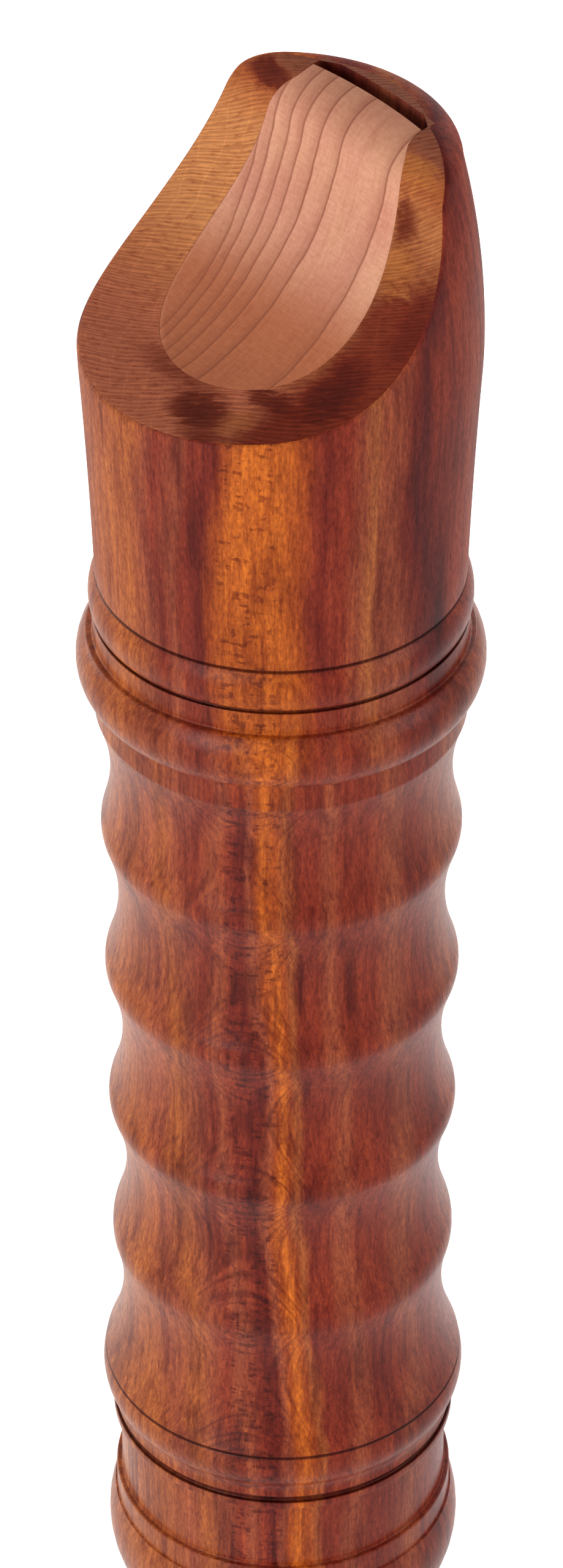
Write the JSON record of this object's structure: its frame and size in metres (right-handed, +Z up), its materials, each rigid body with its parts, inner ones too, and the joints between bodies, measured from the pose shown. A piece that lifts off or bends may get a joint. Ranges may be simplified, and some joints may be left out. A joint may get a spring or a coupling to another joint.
{
  "type": "alto recorder",
  "caption": "Wooden end-blown duct flute in three turned joints, with scooped beak, cedar block, window, finger holes and thumb hole.",
  "frame": {"origin": "on the axis of the bore, at the foot's lower end face, which stands on the floor", "axes": "+Z up the bore from the foot to the beak; -Y is the front, with the window and the finger holes; +Y is the player's side, with the scooped beak cut and the thumb hole"},
  "size_m": [0.0397, 0.0398, 0.4626],
  "materials": {
    "body_wood": "oiled plum-like wood, satin",
    "block_wood": "bare cedar, matte",
    "cork": "greased cork"
  },
  "bodies": {
    "foot": {"foot_joint": "body_wood"},
    "middle": {"middle_joint": "body_wood", "upper_tenon_cork": "cork", "lower_tenon_cork": "cork"},
    "head": {"head_joint": "body_wood"},
    "block": {"block": "block_wood"}
  },
  "joints": [
    {"name": "foot_turn", "type": "hinge", "parent": "foot", "child": "middle", "pos_m": [0, 0, 0.0835], "axis": [0, 0, 1], "continuous": true},
    {"name": "head_slide", "type": "slide", "parent": "middle", "child": "head", "axis": [0, 0, 1], "range_m": [0, 0.03]},
    {"name": "block_slide", "type": "slide", "parent": "head", "child": "block", "axis": [0, 0, 1], "range_m": [0, 0.04]}
  ]
}
